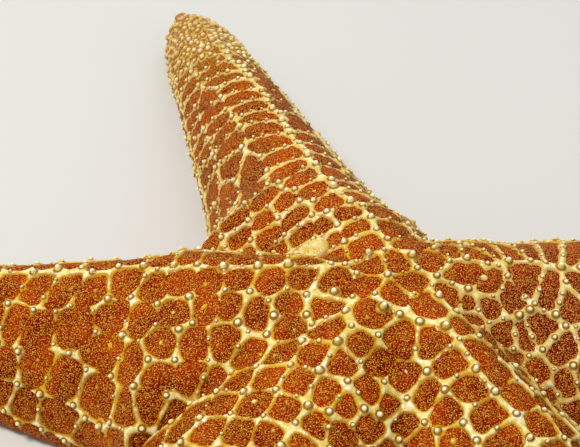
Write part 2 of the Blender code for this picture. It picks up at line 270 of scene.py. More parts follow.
def armChart(shape, arm, name):
    low, high = charts[name]
    return spread(shape, (low, arm * band + bandGap), (high, arm * band + (band - bandGap)))


# the last band of the wall joins a fine ring to one with every second point
def closingBand(count):
    i = np.arange(0, count - 1, 2)
    upper, lower = i, i + count
    return np.stack([
        np.stack([upper, upper + 1, lower, lower], -1),
        np.stack([upper + 1, lower + 2, lower, lower], -1),
        np.stack([upper + 1, upper + 2, lower + 2, lower + 2], -1),
    ], 1).reshape(-1, 4)


def skinPatches():
    made = Patches()
    n, rowCount, levelCount = grid["columns"], grid["rows"], grid["wallLevels"]
    for arm in range(5):
        kite, rows, ring = gridPlan(arm, n, rowCount, 0.0)
        for plan, name in ((kite, "discTop"), (rows, "armTop")):
            x, y = plan[..., 0], plan[..., 1]
            z = topHeight(arm, x, y)
            if name == "armTop":
                low = lowHeight(arm, x, y)
                z[:, 0], z[:, -1], z[-1] = low[:, 0], low[:, -1], low[-1]
            made.add(posed(arm, x, y, z), arm, x, y, 0.0, armChart(z.shape, arm, name))
        low = lowHeight(arm, ring[:, 0], ring[:, 1])
        x, y, z = (np.empty((len(ring), levelCount + 1)) for _ in range(3))
        for level in range(levelCount + 1):
            turn = level / levelCount * pi / 2
            plan = gridPlan(arm, n, rowCount, grid["wallInset"] * (1 - cos(turn)))[2]
            x[:, level], y[:, level], z[:, level] = plan[:, 0], plan[:, 1], low * (1 - sin(turn))
        under = np.linspace(0, 0.98, levelCount + 1)[None] + 0 * x
        start = charts["wall"][0] + strip * arm
        uv = spread(x.shape, (0.002, start), (0.998, start + stripWidth))[..., ::-1]
        wall = posed(arm, x, y, z)
        fine = slice(0, levelCount)
        made.add(wall[:, fine], arm, x[:, fine], y[:, fine], under[:, fine], uv[:, fine], flip=True)
        last = slice(levelCount - 1, levelCount + 1)
        lowest = [part[:, last].swapaxes(0, 1) for part in (wall, x, y, under, uv)]
        made.add(lowest[0], arm, *lowest[1:4], lowest[4], closingBand(len(ring)))
        kite, rows, _ = gridPlan(arm, n, rowCount, grid["wallInset"])
        for plan, name in ((kite[::2, ::2], "discUnder"), (rows[::2, ::2], "armUnder")):
            x, y = plan[..., 0], plan[..., 1]
            z = underHeight(x, y)
            if name == "armUnder":
                z[:, 0], z[:, -1], z[-1] = 0, 0, 0
            made.add(posed(arm, x, y, z), arm, x, y, 1.0, armChart(z.shape, arm, name), flip=True)
    return made.joined()


# a face with a doubled corner is a triangle
def meshFrom(name, points, faces, uv, values=None):
    mesh = bpy.data.meshes.new(name)
    solid = faces != np.roll(faces, 1, axis=1)
    size = solid.sum(1)
    mesh.vertices.add(len(points))
    mesh.loops.add(int(size.sum()))
    mesh.polygons.add(len(faces))
    mesh.vertices.foreach_set("co", points.astype(np.float32).ravel())
    mesh.loops.foreach_set("vertex_index", faces[solid].astype(np.int32))
    mesh.polygons.foreach_set("loop_start", np.r_[0, np.cumsum(size)[:-1]].astype(np.int32))
    mesh.polygons.foreach_set("use_smooth", np.ones(len(faces), bool))
    mesh.update(calc_edges=True)
    mesh.uv_layers.new(name="OFBake").data.foreach_set("uv", uv[solid].astype(np.float32).ravel())
    for key, value in (values or {}).items():
        mesh.attributes.new(key, "FLOAT", "POINT").data.foreach_set("value", value.astype(np.float32))
    obj = bpy.data.objects.new(name, mesh)
    scene.collection.objects.link(obj)
    return obj


print("skin grid")
points, local, faces, uvs = skinPatches()
print(len(points), "points", len(faces), "faces")
skin = meshFrom("skin", points, faces, uvs)
normals = np.empty(len(points) * 3, np.float32)
skin.data.vertex_normals.foreach_get("vector", normals)
normals = normals.reshape(-1, 3).astype(float)
edgeOf = np.empty(len(skin.data.loops), np.int32)
skin.data.loops.foreach_get("edge_index", edgeOf)
print("edges not shared by two faces:", int((np.bincount(edgeOf) != 2).sum()))

# the net of ridges

net = {
    "seed": 7,
    "firstRow": 0.0118,
    "lastRow": 0.003,                   # this far from the tip
    "rowPitch": (0.0043, 0.0062, 0.0063, 0.0067, 0.0065),       # by arm, as are the other rows of five
    "discPitch": (0.0135, 0.0080, 0.0082, 0.0070, 0.0072),
    "armPitch": (0.0160, 0.0125, 0.0090, 0.0072, 0.0078),
    "discToArm": (0.03, 0.07),          # the first pitch gives way to the second between these
    "rowReach": 0.07,
    "rowSteps": 1400,
    # how far ribs lean out, by arm and side
    "skew": ((0.8, 0.45), (0.22, 0.95), (0.3, 0.42), (0.35, 0.35), (0.35, 0.35)),
    "skewReach": 0.025,
    "jitter": 0.24,
    "crestJitter": (0.8, 0.7),          # shares of it along and across, beside the crest
    "middle": 0.0046,
    "wallPitch": 0.0064,
    "wallInset": 0.0008,
    "wallLevel": 0.42,
    "wallKeep": 0.92,
    "ribKeep": (0.98, 0.97, 0.91, 0.90, 0.88),
    "linkKeep": (0.2, 0.26, 0.38, 0.78, 0.72),
    # half widths and reaches below are in mm
    "ribHalf": (0.0, 0.42),
    "linkHalf": (-0.06, 0.36),
    "crestHalf": (0.35, 0.75),
    "wallHalf": (0.2, 0.35),
    "creaseHalf": (0.22, 0.42),
    "wider": (0.13, 0.12, 0.12, 0.2, 0.16),        # more width to the ridges
    "node": (0.5, 1.7),
    "nodeReach": 1.0,
    "spur": (0.8, 2.2),
    "spurReach": 1.5,
    "creaseNode": 0.5,
    "missing": -0.95,
    "rounding": 0.1,
    "neighbours": 8,
    "atOnce": 16000,
    "ragged": ((0.13, 0.8, 11), (0.12, 4, 12)),     # size, length and seed of the waves along the ridges
    "widerAtTip": 0.4,
    "tipStart": 0.7,
    "tipReach": 0.25,
}
# the tight crease between the two front right arms holds long thin cells, in lanes
crease = {
    "lanes": ((0.0008, 0.0), (0.0038, 0.5), (-0.0021, 0.35), (-0.0046, 0.8)),       # offset and shift of each
    "cells": 5,
    "first": 0.0165,
    "pitch": 0.0092,
    "jitter": 0.001,
    "last": 0.053,
    "clearAfter": 0.015,                # rows beyond this stop short of the crease
    "clear": 0.0055,
}


def wobble(p, size, seed, waves=14):
    rng = np.random.default_rng(seed)
    turn = rng.normal(size=(3, waves)) / size
    return np.sin(p @ turn + rng.uniform(0, 2 * pi, waves)).sum(1) / (waves / 2) ** 0.5


def onTop(arm, x, y):
    x, y = np.asarray(x, float), np.asarray(y, float)
    return posed(arm, x, y, topHeight(arm, x, y))


# ribs lean out along the arms, so the net is worked out where they don't
def leanShift(arm, x, y):
    notch = np.where(y >= 0, notches[arm][0], notches[arm - 1][0])
    skew = np.where(y >= 0, net["skew"][arm][1], net["skew"][arm][0])
    return skew * np.abs(y) * smoothstep((x - notch * cos(halfSector)) / net["skewReach"])


def straightened(place, arm, x, y):
    x, y = np.asarray(x, float), np.asarray(y, float)
    return place + posed(arm, x - leanShift(arm, x, y), y, 0.0) - posed(arm, x, y, 0.0)


class Seeds:
    def __init__(self):
        self.place, self.arm, self.row, self.side, self.kind = [], [], [], [], []

    def add(self, x, y, z, arm, row, side, kind):
        place = posed(arm, np.float64(x), np.float64(y), np.float64(z))
        self.place.append(straightened(place, arm, x, y))
        self.arm.append(arm)
        self.row.append(row)
        self.side.append(side)
        self.kind.append(kind)


# kinds: 0 top, 1 wall, 2 crease; rows count from 100 on the wall and from 200 in the crease
def netSeeds():
    rng = np.random.default_rng(net["seed"])
    made = Seeds()
    length = body["armLength"]
    for arm in range(5):
        rowPitch = net["rowPitch"][arm]
        rowCount = int((length - net["lastRow"] - net["firstRow"]) / rowPitch) + 1
        beside = net["middle"] * tan(halfSector) * 0.98
        made.add(net["middle"], beside, body["discHeight"], arm, -1, 1, 0)
        for side in (-1, 1):
            notch = notches[arm] if side > 0 else notches[arm - 1]
            creased = (arm, side) in ((0, -1), (4, 1))
            for row in range(rowCount):
                start = net["firstRow"] + rowPitch * row
                down = np.linspace(0, net["rowReach"], net["rowSteps"])
                x = start + leanShift(arm, start, side * down)
                x = np.minimum(x, length - 0.0005)
                inside = down < halfWidth(x, notch[0])
                end = len(down) if inside.all() else max(int(np.argmin(inside)), 2)
                x, y = x[:end], side * down[:end]
                line = onTop(arm, x, y)
                run = np.r_[0, np.cumsum(np.linalg.norm(np.diff(line, axis=0), axis=1))]
                onDisc = x[-1] < notch[0] * cos(halfSector)
                near, far = net["discToArm"]
                outer = float(smoothstep((start - near) / (far - near)))
                pitch = net["discPitch"][arm] * (1 - outer) + net["armPitch"][arm] * outer
                if creased and onDisc and start > crease["clearAfter"]:
                    run = run[run < run[-1] - crease["clear"]]
                    x, y, onDisc = x[:len(run)], y[:len(run)], False
                count = max(1, round(run[-1] / pitch))
                # on the disc the cells on the furrow itself belong to one side
                ends = count + 0.5 * side if onDisc else count
                for j in range(count):
                    calm = net["crestJitter"] if j == 0 else (1, 1)
                    shake = rng.uniform(-1, 1, 2) * net["jitter"] * rowPitch * calm
                    inFurrow = onDisc and side < 0 and j == count - 1
                    at = (j + 0.5) * run[-1] / ends + shake[1] * (0 if inFurrow else 1)
                    px, py = np.interp(at, run, x), np.interp(at, run, y)
                    px += shake[0] * 0.8
                    made.add(px, py, topHeight(arm, px, py), arm, row, side, 0)
            edgeX, edgeY, run = margin(notch[0], net["wallInset"])
            total = np.hypot(np.diff(edgeX), np.diff(edgeY)).sum()
            count = round(total / net["wallPitch"])
            for j in range(count):
                at = (j + 0.5) / count
                x, y = np.interp(at, run, edgeX), side * np.interp(at, run, edgeY)
                made.add(x, y, net["wallLevel"] * edgeHeight(x, notch), arm, 100 + j, side, 1)
    for offset, shift in crease["lanes"]:
        arm = 0 if offset > 0 else 4
        side = -1 if offset > 0 else 1
        for k in range(crease["cells"]):
            reach = crease["first"] + (k + shift) * crease["pitch"]
            reach += rng.uniform(-crease["jitter"], crease["jitter"])
            if reach > crease["last"]:
                continue
            x = reach * cos(halfSector) + abs(offset) * sin(halfSector)
            y = side * (reach * sin(halfSector) - abs(offset) * cos(halfSector))
            made.add(x, y, topHeight(arm, x, y), arm, 200 + k, side, 2)
    return [np.array(part) for part in (made.place, made.arm, made.row, made.side, made.kind)]


def pairValues(armOf, rowOf, sideOf, kindOf):
    rng = np.random.default_rng(net["seed"] + 1)
    n = len(armOf)

    def symmetric():
        part = np.triu(rng.random((n, n)))
        return part + part.T

    chance, size, more = symmetric(), symmetric(), symmetric()
    sameArm = armOf[:, None] == armOf[None]
    bothTop = (kindOf[:, None] != 1) & (kindOf[None] != 1)
    creased = (kindOf[:, None] == 2) | (kindOf[None] == 2)
    crest = sameArm & (sideOf[:, None] != sideOf[None]) & bothTop & ~creased
    link = sameArm & (rowOf[:, None] == rowOf[None]) & bothTop & ~crest
    ribKeep, linkKeep = np.array(net["ribKeep"]), np.array(net["linkKeep"])
    keep = (ribKeep[armOf][:, None] + ribKeep[armOf][None]) / 2
    keep = np.where(link, linkKeep[armOf][:, None], keep)
    keep = np.where(crest | creased, 2.0, keep)         # always
    keep = np.where(~bothTop, net["wallKeep"], keep)

    def between(name):
        low, high = net[name]
        return low + (high - low) * size

    half = np.where(link, between("linkHalf"), between("ribHalf"))
    half = np.where(crest, between("crestHalf"), half)
    half = half + np.array(net["wider"])[armOf][:, None]
    half = np.where(~bothTop, between("wallHalf"), half)
    half = np.where(creased, between("creaseHalf"), half)
    kept = chance < keep
    node = net["node"][0] + (net["node"][1] - net["node"][0]) * more
    node = np.where(creased, node * net["creaseNode"], node)
    spur = net["spur"][0] + (net["spur"][1] - net["spur"][0]) * more
    return np.stack([np.where(kept, half, net["missing"]), np.where(kept, node, spur),
                     np.where(kept, net["nodeReach"], net["spurReach"])])


# distance in mm to the side of the nearest ridge, below 0 on it
def ridgeDistance(p, seeds, pairs):
    out = np.empty(len(p))
    places = (seeds * 1000).astype(np.float32)
    atOnce, nearest = net["atOnce"], net["neighbours"]
    for start in range(0, len(p), atOnce):
        q = (p[start:start + atOnce] * 1000).astype(np.float32)
        far = (q**2).sum(1)[:, None] + (places**2).sum(1)[None] - 2 * q @ places.T
        near = np.argpartition(far, nearest - 1, axis=1)[:, :nearest]
        far = np.take_along_axis(far, near, 1).astype(float)
        order = np.argsort(far, axis=1)
        near, far = np.take_along_axis(near, order, 1), np.take_along_axis(far, order, 1)
        apart = np.linalg.norm(places[near[:, 1:]] - places[near[:, :1]], axis=2)
        gap = (far[:, 1:] - far[:, :1]) / (2 * apart)
        ranked = np.sort(gap, axis=1)
        close = np.where(gap <= ranked[:, :1], ranked[:, 1:2], ranked[:, :1])
        half, node, reach = (part[near[:, :1], near[:, 1:]] for part in pairs)
        edge = gap - half - node * np.exp(-close / reach)
        k = net["rounding"]
        out[start:start + atOnce] = -k * np.log(np.exp(-np.clip(edge, -6, 12) / k).sum(1))
    return out


print("net")
seeds, armOf, rowOf, sideOf, kindOf = netSeeds()
pairs = pairValues(armOf, rowOf, sideOf, kindOf)
along = local[:, 1] / body["armLength"]
under = local[:, 3]
field = np.empty_like(points)
for arm in range(5):
    part = local[:, 0] == arm
    field[part] = straightened(points[part], arm, local[part, 1], local[part, 2])
ridge = ridgeDistance(field, seeds, pairs)
inMm = points * 1000
fine, coarse = (size * wobble(inMm, length, seed) for size, length, seed in net["ragged"])
ridge += fine - net["widerAtTip"] * smoothstep((along - net["tipStart"]) / net["tipReach"]) + coarse
print(len(seeds), "cells")

# where tubercles and spines stand

knobs = {
    "seed": 3,
    "spacing": (0.0026, 0.0054),
    "cell": 0.006,                      # at least the widest spacing
    "closer": (0.6, 0.7, 0.95, 1.0, 0.9),       # by arm
    "onRidge": -0.1,                    # they stand on the pale skin
    "offRidgeAtTip": 2.6,               # and anywhere at the tips
    "lowest": 0.7,
    "shuffle": 0.5,
    "size": (0.2, 0.38),                # radii in mm
    "atNode": 0.22,                     # more where ridges meet
    "nodeAt": 0.7,
    "largerAtTip": 0.42,
    "tipSpread": (0.4, 1.2),
    "atTip": 0.34,                      # how much closer they stand at the arm tips
    "tipStart": 0.79,                   # the tip's pale end, as a share of the arm
    "tipReach": 0.17,
    "tipPerHeight": 7,                  # it reaches further back on top than at the margin
    "mainSize": (0.54, 0.76),
    "mainSmaller": 0.3,                 # share lost at the tip
    "mainApart": 0.0029,
    "mainStray": 0.0019,
    "firstOnRidge": 0.0195,
    "ridgePitch": 0.0085,
    "ridgeCount": 15,
    "firstOnMargin": 0.007,
    "lastOnMargin": 0.009,
    "marginCount": 7,
    "marginAcross": 0.9,
    "beside": (0.0095, 0.5),
    "last": 0.003,
    "islands": 330,                     # pale spots inside the cells
    "islandSize": (0.05, 0.42),
    "islandInside": 1.1,
    "islandLowest": 0.3,
    "islandApart": 0.004,
    "segments": 12,
}
tipness = smoothstep((along + knobs["tipPerHeight"] * points[:, 2] - knobs["tipStart"]) / knobs["tipReach"])


class Spots:
    def __init__(self, cell):
        self.cell, self.taken = cell, {}

    def key(self, p):
        return tuple((p // self.cell).astype(int))

    def free(self, p, reach):
        i, j, k = self.key(p)
        steps = (-1, 0, 1)
        near = [self.taken.get((i + a, j + b, k + c), ()) for a in steps for b in steps for c in steps]
        return all(np.linalg.norm(q - p) >= max(reach, other) for spots in near for q, other in spots)

    def put(self, p, reach):
        self.taken.setdefault(self.key(p), []).append((p, reach))


# the big spines: along each ridge, along each margin, one by the middle and one at the tip
def spineSpots(arm):
    spots = [(knobs["firstOnRidge"] + knobs["ridgePitch"] * i, 0.0) for i in range(knobs["ridgeCount"])]
    for side in (-1, 1):
        first = notches[arm if side > 0 else arm - 1][0] * cos(halfSector) + knobs["firstOnMargin"]
        step = (body["armLength"] - knobs["lastOnMargin"] - first) / (knobs["marginCount"] - 1)
        spots += [(first + step * i, knobs["marginAcross"] * side) for i in range(knobs["marginCount"])]
    return spots + [knobs["beside"], (body["armLength"] - knobs["last"], 0.0)]


def knobSpots():
    rng = np.random.default_rng(knobs["seed"])
    spots = Spots(knobs["cell"])
    chosen = []                         # point number, radius in mm, whether it is a spine
    for arm in range(5):
        for x, across in spineSpots(arm):
            notch = notches[arm if across >= 0 else arm - 1]
            target = onTop(arm, x, across * halfWidth(np.float64(x), notch[0]))
            near = np.flatnonzero(((points - target) ** 2).sum(1) < knobs["mainStray"] ** 2)
            best = int(near[np.argmin(ridge[near])])
            spots.put(points[best], knobs["mainApart"])
            smaller = 1 - knobs["mainSmaller"] * x / body["armLength"]
            chosen.append((best, rng.uniform(*knobs["mainSize"]) * smaller, 1))
    order = np.argsort(ridge + rng.uniform(0, knobs["shuffle"], len(ridge)))
    usable = (ridge < knobs["onRidge"] + knobs["offRidgeAtTip"] * tipness) & (under < knobs["lowest"])
    closer = np.array(knobs["closer"])[local[:, 0].astype(int)]
    for i in order[usable[order]]:
        tip = float(tipness[i])
        reach = rng.uniform(*knobs["spacing"]) * closer[i] * (1 - knobs["atTip"] * tip)
        if spots.free(points[i], reach):
            spots.put(points[i], reach)
            atNode = float(smoothstep((-ridge[i] - knobs["nodeAt"]) / knobs["nodeAt"]))
            larger = knobs["largerAtTip"] * tip * rng.uniform(*knobs["tipSpread"])
            larger = max(knobs["atNode"] * atNode, larger)
            chosen.append((i, rng.uniform(*knobs["size"]) + larger, 0))
    islands = []
    inside = (ridge > knobs["islandInside"]) & (under < knobs["islandLowest"])
    for i in rng.permutation(np.flatnonzero(inside)):
        if len(islands) < knobs["islands"] and spots.free(points[i], knobs["islandApart"]):
            spots.put(points[i], knobs["islandApart"])
            islands.append((i, rng.uniform(*knobs["islandSize"]), 0))
    return np.array(chosen), np.array(islands)


# distance in mm from each point to the nearest spot, and that spot's radius
def nearestSpot(places, sizes):
    tree = kdtree.KDTree(len(places))
    for i, place in enumerate(places):
        tree.insert(place, i)
    tree.balance()
    found = [tree.find(p)[1:] for p in points]
    index, apart = (np.array(part) for part in zip(*found))
    return apart * 1000, sizes[index]


def joinRidge(a, b, k):
    return -k * np.log(np.exp(-np.clip(a, -6, 9) / k) + np.exp(-np.clip(b, -6, 9) / k))


# heights and reaches in mm, and in radii round a tubercle
relief = {
    "platform": 2.4,                    # the pale skin round one
    "platformWaves": (0.12, 0.6, 17),
    "platformJoin": 0.15,
    "islandWaves": (0.3, 0.7, 19),
    "islandJoin": 0.1,
    "lumps": (0.16, 1.6, 13),
    "ridge": 0.62,
    "ridgeEdge": 0.15,
    "ridgeSlope": 0.75,
    "cushion": 0.35,
    "cushionReach": 2.2,
    "mound": 0.3,
    "moundReach": 2.3,
    "crater": 0.16,
    "craterAt": 1.35,
    "craterWidth": 0.3,
    "lowerAtTip": 0.35,
    "end": (0.55, 0.95),                # on the wall, from the margin down, as a share
    "sunkEnd": (0.6, 1.0),
}


def waves(name):
    size, length, seed = relief[name]
    return size * wobble(inMm, length, seed)


def downTo(name):
    low, high = relief[name]
    return 1 - smoothstep((under - low) / (high - low))


print("tubercle places")
chosen, islands = knobSpots()
apart, size = nearestSpot(points[chosen[:, 0].astype(int)], chosen[:, 1])
halo = apart / size
ridge = joinRidge(ridge, apart - relief["platform"] * size + waves("platformWaves"), relief["platformJoin"])
islandApart, islandSize = nearestSpot(points[islands[:, 0].astype(int)], islands[:, 1])
ridge = joinRidge(ridge, islandApart - islandSize + waves("islandWaves"), relief["islandJoin"])

height = relief["ridge"] * smoothstep((relief["ridgeEdge"] - ridge) / relief["ridgeSlope"])
height = height * (1 + waves("lumps"))
height += relief["cushion"] * smoothstep(ridge / relief["cushionReach"])
mound = relief["mound"] * smoothstep(relief["moundReach"] - halo)
crater = relief["crater"] * np.exp(-(((halo - relief["craterAt"]) / relief["craterWidth"]) ** 2))
height += size * (mound - crater)
height *= 1 - relief["lowerAtTip"] * tipness
lift = (height * downTo("end") - 1000 * grid["sunk"] * downTo("sunkEnd")) * mm
shown = points + normals * lift[:, None]
shown[:, 2] = np.maximum(shown[:, 2], 0.0)

# headings and spreads in degrees, counted from the middle
tints = {
    "paintedShade": (-5, 26, 0.03),             # painted shade: the cells darker and redder along the right arm and in the crease beside it
    "pale": (108, 22, 0.05),            # paler ridges along the back arm
}


def alongHeading(name):
    middle, spreading, start = tints[name]
    heading = np.degrees(np.arctan2(points[:, 1], points[:, 0]))
    out = smoothstep(np.hypot(points[:, 0], points[:, 1]) / start)
    return np.exp(-((heading - middle) / spreading) ** 2) * out


# painted shade: a mask that darkens the cells along the right arm and in the crease beside it
paintedShade = alongHeading("paintedShade")
# paler gold on the ridges along the back arm and over the painted shade
faded = np.maximum(paintedShade, alongHeading("pale"))
skin.data.vertices.foreach_set("co", shown.astype(np.float32).ravel())
for key, value in {"ridge": np.clip(ridge, -3, 4), "tip": tipness, "under": under, "paintedShade": paintedShade,
                   "faded": faded, "halo": np.clip(halo, 0, 5)}.items():
    skin.data.attributes.new(key, "FLOAT", "POINT").data.foreach_set("value", value.astype(np.float32))
skin.data.update()

# tubercles and spines

# radius and height of each outline, and what its colour follows
knobOutline = ((1.2, -0.5, 0.0), (1.06, -0.12, 0.1), (1.0, 0.14, 0.25), (0.9, 0.42, 0.45),
               (0.7, 0.68, 0.7), (0.42, 0.84, 0.9), (0.16, 0.9, 1.0))
mainOutline = ((1.25, -0.6, 0.0), (1.08, -0.15, 0.1), (1.0, 0.2, 0.25), (0.92, 0.6, 0.42),
               (0.76, 0.98, 0.65), (0.5, 1.22, 0.85), (0.2, 1.32, 1.0))
turned = {
    "lean": 0.08,
    "squash": (0.92, 1.08),
    "point": 1.03,                      # the end stands this much over the last ring
    "lowest": 0.0002,
    "discReach": 0.05,                  # tubercles up to here belong to the disc's piece
}


def knobPlaces():
    places = {name: [] for name in ("disc", *(arm[0] for arm in arms))}
    for i, radius, isSpine in chosen:
        i = int(i)
        name = "disc" if local[i, 1] < turned["discReach"] else arms[int(local[i, 0])][0]
        outline = mainOutline if isSpine else knobOutline
        places[name].append((shown[i], normals[i], radius * mm, radius * mm, outline))
    return places


def ringQuads(rings, count):
    k = np.arange(count)
    after = (k + 1) % count
    ring = np.arange(rings - 1)[:, None] * count
    return np.stack([ring + k, ring + after, ring + count + after, ring + count + k], -1).reshape(-1, 4)


# triangles from the ring that starts at the given point to a single end
def fan(start, count, end, flip=False):
    k = start + np.arange(count)
    after = start + (np.arange(count) + 1) % count
    around = (after, k) if flip else (k, after)
    return np.stack([*around, 0 * k + end, 0 * k + end], -1)


# one joined mesh of turned shapes; a place is a point, a direction, a radius, a height and an outline
def turnedMesh(name, places, segments):
    rng = np.random.default_rng(len(places))
    turn = np.arange(segments) * 2 * pi / segments
    circle = np.stack([np.cos(turn), np.sin(turn)], 1)
    columns = int(len(places) ** 0.5) + 1
    allPoints, allFaces, allUv, rise, pick = [], [], [], [], []
    base = 0
    for number, (p, up, radius, tall, outline) in enumerate(places):
        outline = np.array(outline)
        rings = len(outline)
        up = np.array(up) / np.linalg.norm(up)
        aside = np.cross(up, (0.31, 0.52, 0.79))        # any way that no piece points
        aside /= np.linalg.norm(aside)
        other = np.cross(up, aside)
        lean = rng.normal(0, turned["lean"], 2)
        squash = rng.uniform(*turned["squash"])
        flat = outline[:, 0, None, None] * circle * radius * (squash, 1 / squash)
        high = outline[:, 1] * tall
        flat = flat + (np.maximum(high, 0)[:, None] * lean)[:, None]
        sides = p + flat[..., :1] * aside + flat[..., 1:] * other + high[:, None, None] * up
        end = p + high[-1] * turned["point"] * up + high[-1] * (lean[0] * aside + lean[1] * other)
        whole = np.concatenate([sides.reshape(-1, 3), end[None]])
        whole[:, 2] = np.maximum(whole[:, 2], turned["lowest"])
        allPoints.append(whole)
        cap = fan((rings - 1) * segments, segments, rings * segments)
        faces = np.concatenate([ringQuads(rings, segments), cap])
        patch = np.linspace(0.47, 0.03, rings)[:, None, None] * circle
        patch = np.concatenate([patch.reshape(-1, 2), [[0, 0]]]) + 0.5 + (number % columns, number // columns)
        allFaces.append(faces + base)
        allUv.append((patch / columns)[faces])
        rise.append(np.r_[np.repeat(outline[:, 2], segments), 1.0])
        pick.append(np.full(segments * rings + 1, rng.random()))
        base += segments * rings + 1
    values = {"rise": np.concatenate(rise), "pick": np.concatenate(pick)}
    return meshFrom(name, *map(np.concatenate, (allPoints, allFaces, allUv)), values)


print("tubercles")
knobPieces = [turnedMesh(f"tubercles_{name}", places, knobs["segments"])
              for name, places in knobPlaces().items()]
print(sum(len(piece.data.polygons) for piece in knobPieces), "faces")

# sieve plate

sievePlate = {
    "radius": 0.0041,
    "longer": 1.08,
    "narrower": 0.94,
    "rise": 0.0017,
    "crown": (2.6, 0.55),
    "sink": 0.0012,
    "rim": 1.12,                        # it goes on this far, down into the skin
    "distance": 0.021,
    "notch": 1,
    "levelReach": 0.002,                # it faces as the skin within this reach does
    "grooveDepth": 0.0002,
    "branches": ((7, 2.0), (15, 2.6), (29, 3.2)),       # number and swing, from the middle out
    "branchAt": (0.28, 0.58),
    "branchSoft": 0.12,
    "rings": 44,
    "spokes": 168,
}


def sievePlateMesh():
    reach = sievePlate["distance"]
    centre = onTop(sievePlate["notch"], reach * cos(halfSector), reach * sin(halfSector))
    near = ((points - centre) ** 2).sum(1) < sievePlate["levelReach"] ** 2
    up = normals[near].mean(0)
    up /= np.linalg.norm(up)
    aside = np.cross(up, (0, 0, 1))
    aside /= np.linalg.norm(aside)
    other = np.cross(up, aside)
    rings, spokes = sievePlate["rings"], sievePlate["spokes"]
    r, a = np.meshgrid(np.linspace(0.02, sievePlate["rim"], rings), np.arange(spokes) * 2 * pi / spokes,
                       indexing="ij")
    # the grooves branch towards the rim
    swing = 0.5 * np.sin(3 * a + 7 * r) + 0.35 * np.sin(5 * a - 9 * r)
    inner, middle, outer = (np.cos(n * a + swing * k) for n, k in sievePlate["branches"])
    first, second = sievePlate["branchAt"]
    soft = sievePlate["branchSoft"]
    wave = inner + (middle - inner) * smoothstep((r - first) / soft)
    wave = wave + (outer - wave) * smoothstep((r - second) / soft)
    groove = smoothstep((wave - 0.05) / 0.7) * smoothstep((1.02 - r) / 0.1) * smoothstep(r / 0.12)
    edge = np.clip(r, 0, 1)
    steep, full = sievePlate["crown"]
    high = sievePlate["rise"] * (1 - edge**steep) ** full - sievePlate["grooveDepth"] * groove
    high = np.where(r > 1, -sievePlate["sink"] * (r - 1) / (sievePlate["rim"] - 1), high)
    wide = np.minimum(r, 1.0 + (r - 1) * 0.3) * sievePlate["radius"]
    place = centre + (wide * np.cos(a) * sievePlate["longer"])[..., None] * aside
    place = place + (wide * np.sin(a) * sievePlate["narrower"])[..., None] * other
    place = place + high[..., None] * up
    tip = rings * spokes
    quads = ringQuads(rings, spokes)[:, [0, 3, 2, 1]]
    faces = np.concatenate([quads, fan(0, spokes, tip), fan(tip - spokes, spokes, tip + 1, flip=True)])
    ends = np.array([place[0].mean(0), place[-1].mean(0)])
    flat = np.stack([r * np.cos(a), r * np.sin(a)], -1).reshape(-1, 2) * 0.43 + 0.5
    flat = np.concatenate([flat, [[0.5, 0.5], [0.98, 0.98]]])
    values = {"groove": np.r_[groove.ravel(), 0, 0], "edge": np.r_[edge.ravel(), 0, 1]}
    whole = np.concatenate([place.reshape(-1, 3), ends])
    return meshFrom("sieve_plate_top", whole, faces, flat[faces], values)


print("sieve plate")
plate = sievePlateMesh()

# underside: tube feet, spines beside the grooves, jaws

footOutline = ((0.62, -0.25, 0.0), (0.55, 0.1, 0.2), (0.46, 0.45, 0.4), (0.5, 0.72, 0.6),
               (0.86, 0.84, 0.8), (0.9, 0.93, 0.9), (0.5, 0.98, 1.0))
pegOutline = ((1.0, -0.35, 0.3), (1.0, 0.1, 0.4), (0.95, 0.6, 0.6), (0.72, 0.92, 0.8), (0.3, 1.0, 1.0))
jawOutline = ((1.2, -0.1, 0.3), (1.75, 0.1, 0.4), (1.85, 0.4, 0.5), (1.5, 0.72, 0.6), (0.7, 0.97, 0.8))
plateOutline = ((1.15, -0.5, 0.0), (1.0, 0.0, 0.2), (0.94, 0.28, 0.4), (0.78, 0.5, 0.6),
                (0.5, 0.64, 0.8), (0.2, 0.7, 1.0))
feet = {
    "first": 0.0125,
    "last": 0.010,                      # from the tip
    "pitch": 0.0032,
    "aside": 0.0015,
    "radius": 0.00085,
    "splay": 0.05,
    "clear": 0.00035,                   # above the floor
    "leastRoom": 0.0016,
}
pegs = {
    "last": 0.013,
    "pitch": 0.0024,
    "radius": 0.00042,
    "length": 0.0022,
    "root": (0.0046, 0.0013),           # place across the arm, and height
    "end": (0.0026, 0.0009),
}
jaws = {
    "level": 0.0028,
    "radius": 0.00105,
    "out": 0.92,                        # places and length as shares of the mouth's half width
    "length": 0.8,
    "toothOut": 0.32,
    "toothLevel": 0.0021,
    "toothApart": 0.0009,
    "toothRadius": 0.00042,
    "toothLength": 0.0019,
}
tipPlates = {"back": 0.0014, "rise": 0.6, "radius": 0.0017, "height": 0.0014}


# places along both sides of each arm's groove
def alongGroove(first, last, pitch):
    for arm in range(5):
        for side in (-1, 1):
            x = first
            while x < body["armLength"] - last:
                yield arm, side, x
                x += pitch


def footPlaces():
    places = []
    for arm, side, x in alongGroove(feet["first"], feet["last"], feet["pitch"]):
        at = np.float64(x + 0.25 * feet["pitch"] * side)
        ceiling = float(underHeight(at, np.float64(feet["aside"])))
        if ceiling > feet["leastRoom"]:
            p = posed(arm, at, np.float64(feet["aside"] * side), np.float64(ceiling))
            down = (feet["splay"], feet["splay"] * side, -1)
            places.append((p, down, feet["radius"], ceiling - feet["clear"], footOutline))
    return places


def pegPlaces():
    places = []
    for arm, side, x in alongGroove(feet["first"], pegs["last"], pegs["pitch"]):
        root, end = (posed(arm, np.float64(x), np.float64(side * y), np.float64(z))
                     for y, z in (pegs["root"], pegs["end"]))
        places.append((root, end - root, pegs["radius"], pegs["length"], pegOutline))
    return places


